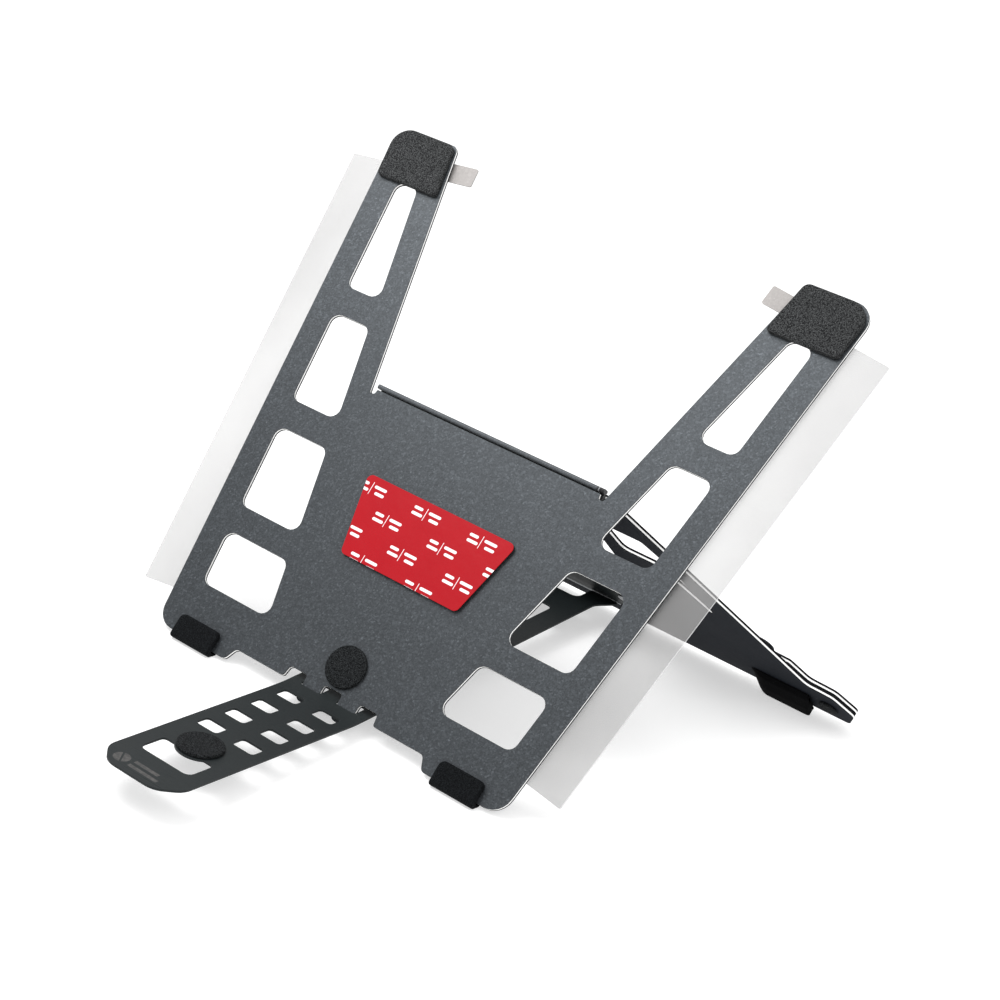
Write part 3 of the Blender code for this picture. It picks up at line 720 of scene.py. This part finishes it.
def strip_finish(name, colour, mark):
    """Satin sheet plastic of the locking strip, with a pale printed disc and two plain bars near
    its free end."""
    mat, tree, shader = blank(name, 0.52, 0.0, 0.22)
    place = position(tree)
    fleck = grouped(tree, "fleck", Cells_per_metre=1600.0, Contrast=0.10)
    handled(tree, shader, 0.14, 0.52)
    x = dotted(tree, place, X_AXIS * 1000)
    y = measured(tree, place, NOSE_Y, BEND)
    up = measured(tree, place, NOSE_N, BEND)
    dx, dy = maths(tree, "ADD", x, 9.8), maths(tree, "SUBTRACT", y, 100.4)
    ring = maths(tree, "SQRT", maths(tree, "ADD", maths(tree, "MULTIPLY", dx, dx),
                                     maths(tree, "MULTIPLY", dy, dy)))
    disc = spread(tree, ring, 3.35, 3.2)
    leaf = spread(tree, apart(tree, dx, maths(tree, "MULTIPLY", dy, 0.6)), 0.36, 0.5)
    ink = maths(tree, "MULTIPLY", disc, leaf)
    for level, long in ((98.7, 11.5), (102.1, 14.0)):
        side = spread(tree, apart(tree, y, level), 0.95, 0.8)
        tips = spread(tree, apart(tree, x, long / 2 - 4.9), long / 2, long / 2 - 0.15)
        ink = maths(tree, "MAXIMUM", ink, maths(tree, "MULTIPLY", side, tips))
    faded = spread(tree, noise(tree, place, 900.0, 3.0), 0.35, 0.62)
    ink = maths(tree, "MULTIPLY", ink, maths(tree, "MULTIPLY_ADD", faded, 0.45, 0.45))
    ink = maths(tree, "MULTIPLY", ink, maths(tree, "GREATER_THAN", up, 0.2))
    tint = tinted(tree, colour, fleck.outputs["Shade"])
    link(tree, mixed(tree, ink, tint, mark), shader.inputs["Base Color"])
    bumped(tree, shader, fleck.outputs["Height"], 0.2, 0.00006)
    return mat


def steel_finish(name):
    """Plain steel with fine turning marks."""
    mat, tree, shader = blank(name, 0.34, 1.0)
    fleck = grouped(tree, "fleck", Cells_per_metre=5200.0, Contrast=0.2)
    tint = tinted(tree, (0.36, 0.37, 0.38), fleck.outputs["Shade"])
    link(tree, tint, shader.inputs["Base Color"])
    bumped(tree, shader, fleck.outputs["Height"], 0.2, 0.00004)
    return mat


LOOKS = {}


def build_looks(stand):
    """Every finish of the stand, from the colours in its settings."""
    GROUPS.update(build_groups())
    core = tuple(stand.core_colour)
    lacquer = tuple(stand.lacquer_colour)
    front = float(np.dot(PLATE_O, PLATE_N))
    LOOKS["plate"] = sheet_finish("plate_lacquer", PLATE_N, front, lacquer, lacquer, core)
    under = float(np.dot(HINGE, LEG_D))
    doubler = under + MM * DOUBLER_FRONT
    # Painted shade: the leg and its corner layers take a much darker, bluer copy of the lacquer on
    # the face towards the table, and a lighter copy (0.7 of it) on their back face.
    dark = (0.20 * lacquer[0], 0.22 * lacquer[1], 0.28 * lacquer[2])
    back = tuple(0.7 * c for c in lacquer)
    matt = {"contrast": 0.6, "rough": 0.7, "metal": 0.0, "level": 0.08}
    LOOKS["leg"] = sheet_finish("leg_lacquer_painted_shade", LEG_D, under, dark, back, core, **matt)
    LOOKS["doubler"] = sheet_finish("doubler_lacquer_painted_shade", LEG_D, doubler, dark, back, core, **matt)
    LOOKS["bead"] = bead_finish("bead_lacquer", tuple(1.15 * c for c in lacquer))
    LOOKS["arm_foam"] = foam_finish("arm_foam", (0.008, 0.0085, 0.009), (0.15, 0.155, 0.158),
                                    2300.0)
    LOOKS["foam"] = foam_finish("pad_foam", (0.003, 0.0035, 0.004), (0.055, 0.06, 0.063), 2300.0)
    LOOKS["lip"] = foam_finish("lip_foam", (0.0012, 0.0016, 0.0022), (0.013, 0.0155, 0.0175),
                               2000.0)
    LOOKS["rubber"] = plastic_finish("foot_rubber", (0.002, 0.002, 0.0024), 0.85, 1500.0, 0.4,
                                     0.06)
    LOOKS["black"] = plastic_finish("black_plastic", (0.012, 0.013, 0.014), 0.55)
    LOOKS["tape"] = foam_finish("tape_foam_grey", (0.01, 0.011, 0.012), (0.05, 0.052, 0.055),
                                2600.0)
    LOOKS["liner"] = liner_finish("release_film", tuple(stand.liner_colour), (0.80, 0.76, 0.78))
    LOOKS["strip"] = strip_finish("strip_plastic", tuple(stand.strip_colour),
                                  (0.075, 0.072, 0.070))
    LOOKS["steel"] = steel_finish("rivet_steel")
    LOOKS["tab"] = frosted_finish("tab_plastic", (0.30, 0.283, 0.274))
    for tag, sign in SIDES:
        axis = np.array(JOINTS["wing_slide_" + tag]["axis"], float)
        across = -axis / np.linalg.norm(axis)
        up = np.cross(PLATE_N, across) * sign
        rail = plate_point(sign * RAIL_X, 0.0, 0.0)
        LOOKS["wing_" + tag] = wing_finish("wing_film_" + tag, across, up, rail,
                                           tuple(stand.wing_colour), stand.wing_veil)


# ---------------------------------------------------------------- settings
COLOUR = {"subtype": "COLOR", "size": 3, "min": 0, "max": 1}


class LaptopStandSettings(bpy.types.PropertyGroup):
    """Sizes and colours of the stand's dressing."""
    lacquer_colour: FloatVectorProperty(name="Lacquer", default=(0.042, 0.047, 0.052), **COLOUR,
                                        description="Dark metallic lacquer of the sheets")
    core_colour: FloatVectorProperty(name="Core", default=(0.90, 0.90, 0.89), **COLOUR,
                                     description="Plastic core that shows at cut edges")
    liner_colour: FloatVectorProperty(name="Release film", default=(0.37, 0.004, 0.010), **COLOUR,
                                      description="Film on the square of tape")
    strip_colour: FloatVectorProperty(name="Locking strip", default=(0.0085, 0.0115, 0.0122),
                                      description="Plastic of the locking strip", **COLOUR)
    wing_colour: FloatVectorProperty(name="Wings", default=(0.25, 0.246, 0.244), **COLOUR,
                                     description="Tint of the clear side wings")
    wing_veil: FloatProperty(name="Wing cover", description="How much the clear wings hide",
                             default=0.37, min=0, max=1, subtype="FACTOR")
    arm_pad_rise: FloatProperty(name="Arm pad height", description="Foam above the arms' faces",
                                default=0.0022, min=0.0005, max=0.0022, subtype="DISTANCE",
                                unit="LENGTH")
    key_light: FloatProperty(name="Key light", description="Power of the main soft light",
                             default=5.0, min=0, unit="POWER")
    fill_light: FloatProperty(name="Fill light", description="Power of the second soft light",
                              default=3.0, min=0, unit="POWER")
    surround: FloatProperty(name="Surround", description="Brightness of the white surround",
                            default=1.0, min=0)
    floor_glow: FloatProperty(name="Floor glow",
                              description="How much the pale floor shines by itself",
                              default=0.5, min=0)
    pad_points: IntProperty(name="Pad outline points", description="Points round each foam pad",
                            default=128, min=32, max=512)


def settings():
    """The scene's stand settings."""
    return bpy.context.scene.laptop_stand


# ---------------------------------------------------------------- operators
class StandFinishes(bpy.types.Operator):
    """Build the shader groups and the finishes that every piece uses"""
    bl_idname = "laptop_stand.finishes"
    bl_label = "Finishes"

    def execute(self, context):
        build_looks(settings())
        return {"FINISHED"}


class StandSheets(bpy.types.Operator):
    """Sandwich sheets with worked edges: front plate, rear leg and its corner layers"""
    bl_idname = "laptop_stand.sheets"
    bl_label = "Sheets"

    def execute(self, context):
        jobs = (("front_plate", "plate", "plate", PLATE_O, PLATE_AXES, 0.0),
                ("leg_frame", "leg", "leg", HINGE, LEG_AXES, 0.0),
                ("leg_doubler_R", "leg", "doubler", HINGE, LEG_AXES, DOUBLER_FRONT),
                ("leg_doubler_L", "leg", "doubler", HINGE, LEG_AXES, DOUBLER_FRONT))
        for node, body, look, origin, axes, front in jobs:
            mesh = sheet_shell("sheet_" + node, node, origin, axes, front, SHEET_RINGS)
            piece("sheet_" + node, mesh, body, LOOKS[look], node)
        return {"FINISHED"}


class StandHinge(bpy.types.Operator):
    """Finish the hinge: the folded bead above the leg and its pin"""
    bl_idname = "laptop_stand.hinge"
    bl_label = "Hinge"

    def execute(self, context):
        dress("hinge_bead", LOOKS["bead"], 0.15)
        dress("hinge_pin", LOOKS["black"])
        return {"FINISHED"}


class StandArmPads(bpy.types.Operator):
    """Foam pads on the arm tips"""
    bl_idname = "laptop_stand.arm_pads"
    bl_label = "Arm pads"

    def execute(self, context):
        stand = settings()
        crown = 0.1
        side_top = GLUE + stand.arm_pad_rise / MM - crown
        corners = ((82.0, 85.5, 1.6), (87.2, 109.8, 3.4), (118.1, 109.8, 8.2), (114.2, 85.5, 1.9))
        for tag, sign in SIDES:
            outline = round_loop([(sign * x, v, r) for x, v, r in corners])
            loop = even_loop(outline, stand.pad_points)
            grid, poles = pad_on(plate_point, loop, GLUE, side_top, 0.75, crown)
            foam_pad("arm_foam_" + tag, shell("arm_foam_" + tag, grid, poles), "plate",
                     LOOKS["arm_foam"], "arm_pad_" + tag)
        return {"FINISHED"}


class StandRoundPads(bpy.types.Operator):
    """Round foam pads on the plate, the locking strip and the leg's corners"""
    bl_idname = "laptop_stand.round_pads"
    bl_label = "Round pads"

    def execute(self, context):
        count = settings().pad_points
        crown = 0.08

        def behind(x, w, h):
            """Points above the leg's corner layers, on its hidden side."""
            return leg_point(x, w, DOUBLER_FRONT - h)

        # Name, node, place, body, middle and radius, bottom, top, shoulder radius.
        jobs = [("plate_foam", "plate_pad", plate_point, "plate",
                 (0.0, -106.6, 8.9), GLUE, 1.6, 0.5),
                ("strip_foam", "strip_pad", nose_point, "strip",
                 (0.0, 70.1, 9.0), 0.75, 2.05, 0.5)]
        for tag, sign in SIDES:
            jobs += [("toe_foam_" + tag, "toe_pad_" + tag, leg_point, "leg",
                      (sign * TOE_X, 133.0, 4.5), GLUE, 1.3, 0.6),
                     ("back_foam_" + tag, "back_pad_" + tag, behind, "leg",
                      (sign * 105.1, 98.5, 6.0), 0.0, 1.0, 0.6)]
        for name, node, point, body, (x, y, r), base, top, shoulder in jobs:
            loop = disc_loop(x, y, r, count)
            grid, poles = pad_on(point, loop, base, top - crown, shoulder, crown)
            foam_pad(name, shell(name, grid, poles), body, LOOKS["foam"], node)
        return {"FINISHED"}


class StandWings(bpy.types.Operator):
    """Clear side wings, their frosted grip tabs and the guides behind the plate"""
    bl_idname = "laptop_stand.wings"
    bl_label = "Wings"

    def execute(self, context):
        for tag in "RL":
            dress("wing_" + tag, LOOKS["wing_" + tag])
            dress("wing_tab_" + tag, LOOKS["tab"])
            dress("wing_guide_" + tag, LOOKS["black"])
        return {"FINISHED"}


class StandTape(bpy.types.Operator):
    """Square of foam tape in the middle of the plate, under its release film"""
    bl_idname = "laptop_stand.tape"
    bl_label = "Tape"

    def execute(self, context):
        dress("tape_foam", LOOKS["tape"])
        dress("tape_liner", LOOKS["liner"])
        return {"FINISHED"}


class StandLipPads(bpy.types.Operator):
    """Foam pads that wrap the plate's lower lobes"""
    bl_idname = "laptop_stand.lip_pads"
    bl_label = "Lip pads"

    def execute(self, context):
        points, edge, corner = 56, 0.7, 2.6
        outer = along(round_loop([(-119.2, 0.9, 0.0), (-119.2, 3.0, 1.3), (-129.9, 3.0, 2.7),
                                  (-129.9, -0.2, 0.6), (-127.1, -3.7, 0.6), (-119.5, -3.7, 0.5),
                                  (-119.5, -3.0, 0.0)], 6), points)
        inner = along(np.array(((-119.2, 0.3), (-127.5, 0.3), (-127.5, -2.3), (-119.5, -2.3))),
                      points)
        stations, near = ends(57.2, 77.87, corner, 10)
        for tag, sign in SIDES:
            mesh = folded_strip("lip_foam_" + tag, plate_point, sign * stations, near, outer, inner,
                                edge, corner)
            foam_pad("lip_foam_" + tag, mesh, "plate", LOOKS["lip"], "lip_pad_" + tag)
        return {"FINISHED"}


class StandStrip(bpy.types.Operator):
    """Locking strip, its flange on the leg, the rivets and the pin"""
    bl_idname = "laptop_stand.strip"
    bl_label = "Locking strip"

    def execute(self, context):
        dress("strip", LOOKS["strip"], 0.1)
        dress("strip_flange", LOOKS["strip"], 0.1)
        dress("strip_pin", LOOKS["steel"])
        for tag in "RL":
            dress("flange_rivet_" + tag, LOOKS["steel"], 0.15)
        return {"FINISHED"}


class StandFeet(bpy.types.Operator):
    """Rubber feet under the leg's corners"""
    bl_idname = "laptop_stand.feet"
    bl_label = "Feet"

    def execute(self, context):
        loop = even_loop(round_loop([(128.85, 0.3, 0.1), (130.7, 2.5, 2.0), (136.2, 4.5, 5.0),
                                     (142.0, 5.3, 0.5), (143.2, 5.1, 0.4), (143.27, 0.3, 0.1)]), 96)
        inner_end, outer_end, ramp, least = 95.0, 124.0, 8.5, 0.06
        stations, _ = ends(inner_end, outer_end, 1.6, 8)
        rise = np.sin(np.clip((stations - inner_end) / ramp, 0, 1) * math.pi / 2)
        grow = least + (1 - least) * rise
        inset = quarter(outer_end - stations, 1.2)
        ring = loop[None] + inward(loop)[None] * inset[:, None, None]
        d = GLUE + (ring[..., 1] - GLUE) * grow[:, None]
        for tag, sign in SIDES:
            grid = leg_point(np.repeat(sign * stations[:, None], len(loop), 1), ring[..., 0], d)
            grid[..., 2] = np.maximum(grid[..., 2], 0.0)
            foot = piece("rubber_foot_" + tag, shell("rubber_foot_" + tag, grid), "leg",
                         LOOKS["rubber"], "foot_" + tag)
        return {"FINISHED"}


FLOOR_HALF = 30.0
# Size of each light, its place and the point it faces.
KEY_LIGHT = (0.5, (-0.30, -0.13, 0.72), (-0.06, 0.08, 0.17))
FILL_LIGHT = (0.9, (0.9, -0.35, 0.9), (0, 0, 0.08))
LENS = 76.176
EYE_FROM_HINGE = (0.415941, -0.669076, 0.315010)
# The camera's right, up and backward directions.
EYE_AXES = ((0.7918313, 0.5782709, 0.1964838), (-0.3824336, 0.2186361, 0.8977432),
            (0.4761804, -0.7860032, 0.3942731))


class StandStage(bpy.types.Operator):
    """Pale floor, soft studio lights and the camera"""
    bl_idname = "laptop_stand.stage"
    bl_label = "Stage"

    def execute(self, context):
        stand = settings()
        scene = context.scene
        s = FLOOR_HALF
        mesh = bpy.data.meshes.new("floor")
        mesh.from_pydata([(-s, -s, 0), (s, -s, 0), (s, s, 0), (-s, s, 0)], [], [(0, 1, 2, 3)])
        floor = bpy.data.objects.new("floor", mesh)
        scene.collection.objects.link(floor)
        mat, tree, shader = blank("pale_floor", 0.9, 0.0, 0.1)
        place = position(tree)
        link(tree, mixed(tree, noise(tree, place, 3.0), (0.58, 0.58, 0.58), (0.60, 0.60, 0.60)),
             shader.inputs["Base Color"])
        shader.inputs["Emission Color"].default_value = (1.0, 1.0, 1.0, 1.0)
        shader.inputs["Emission Strength"].default_value = stand.floor_glow
        mesh.materials.append(mat)

        world = bpy.data.worlds.new("studio")
        scene.world = world
        world.use_nodes = True
        world.node_tree.nodes["Background"].inputs["Color"].default_value = (1.0, 1.0, 1.0, 1.0)
        world.node_tree.nodes["Background"].inputs["Strength"].default_value = stand.surround
        scene.view_settings.view_transform = "Standard"

        def soft_light(name, power, size, at, aim):
            """A square area light at a point, turned to face another."""
            lamp = bpy.data.lights.new(name, "AREA")
            lamp.shape = "SQUARE"
            lamp.size = size
            lamp.energy = power
            obj = bpy.data.objects.new(name, lamp)
            obj.location = at
            obj.rotation_euler = (Vector(aim) - Vector(at)).to_track_quat("-Z", "Y").to_euler()
            scene.collection.objects.link(obj)

        soft_light("key", stand.key_light, *KEY_LIGHT)
        soft_light("fill", stand.fill_light, *FILL_LIGHT)

        cam = bpy.data.cameras.new("camera")
        cam.sensor_width = 36.0
        cam.lens = LENS
        cam.clip_start = 0.01
        eye = bpy.data.objects.new("camera", cam)
        turn = Matrix(EYE_AXES).transposed().to_4x4()
        turn.translation = Vector(HINGE) + Vector(EYE_FROM_HINGE)
        eye.matrix_world = turn
        scene.collection.objects.link(eye)
        scene.camera = eye
        return {"FINISHED"}


OPERATORS = (StandFinishes, StandSheets, StandHinge, StandArmPads, StandLipPads, StandRoundPads,
             StandTape, StandWings, StandStrip, StandFeet, StandStage)


class StandPanel(bpy.types.Panel):
    """The stand's settings and its build steps"""
    bl_idname = "VIEW3D_PT_laptop_stand"
    bl_label = "Laptop stand"
    bl_space_type = "VIEW_3D"
    bl_region_type = "UI"
    bl_category = "Laptop stand"

    def draw(self, context):
        stand = context.scene.laptop_stand
        for label in stand.bl_rna.properties.keys():
            if label not in {"rna_type", "name"}:
                self.layout.prop(stand, label)
        for step in OPERATORS:
            self.layout.operator(step.bl_idname)


CLASSES = (LaptopStandSettings, *OPERATORS, StandPanel)


def register():
    """Registers the settings, the steps and the panel."""
    for cls in CLASSES:
        bpy.utils.register_class(cls)
    bpy.types.Scene.laptop_stand = PointerProperty(type=LaptopStandSettings)


def unregister():
    """Removes what register added."""
    del bpy.types.Scene.laptop_stand
    for cls in reversed(CLASSES):
        bpy.utils.unregister_class(cls)


def main():
    """Builds the stand's dressing step by step."""
    register()
    bpy.ops.laptop_stand.finishes()
    bpy.ops.laptop_stand.sheets()
    bpy.ops.laptop_stand.hinge()
    bpy.ops.laptop_stand.arm_pads()
    bpy.ops.laptop_stand.lip_pads()
    bpy.ops.laptop_stand.round_pads()
    bpy.ops.laptop_stand.tape()
    bpy.ops.laptop_stand.wings()
    bpy.ops.laptop_stand.strip()
    bpy.ops.laptop_stand.feet()
    bpy.ops.laptop_stand.stage()


if __name__ == "__main__":
    main()
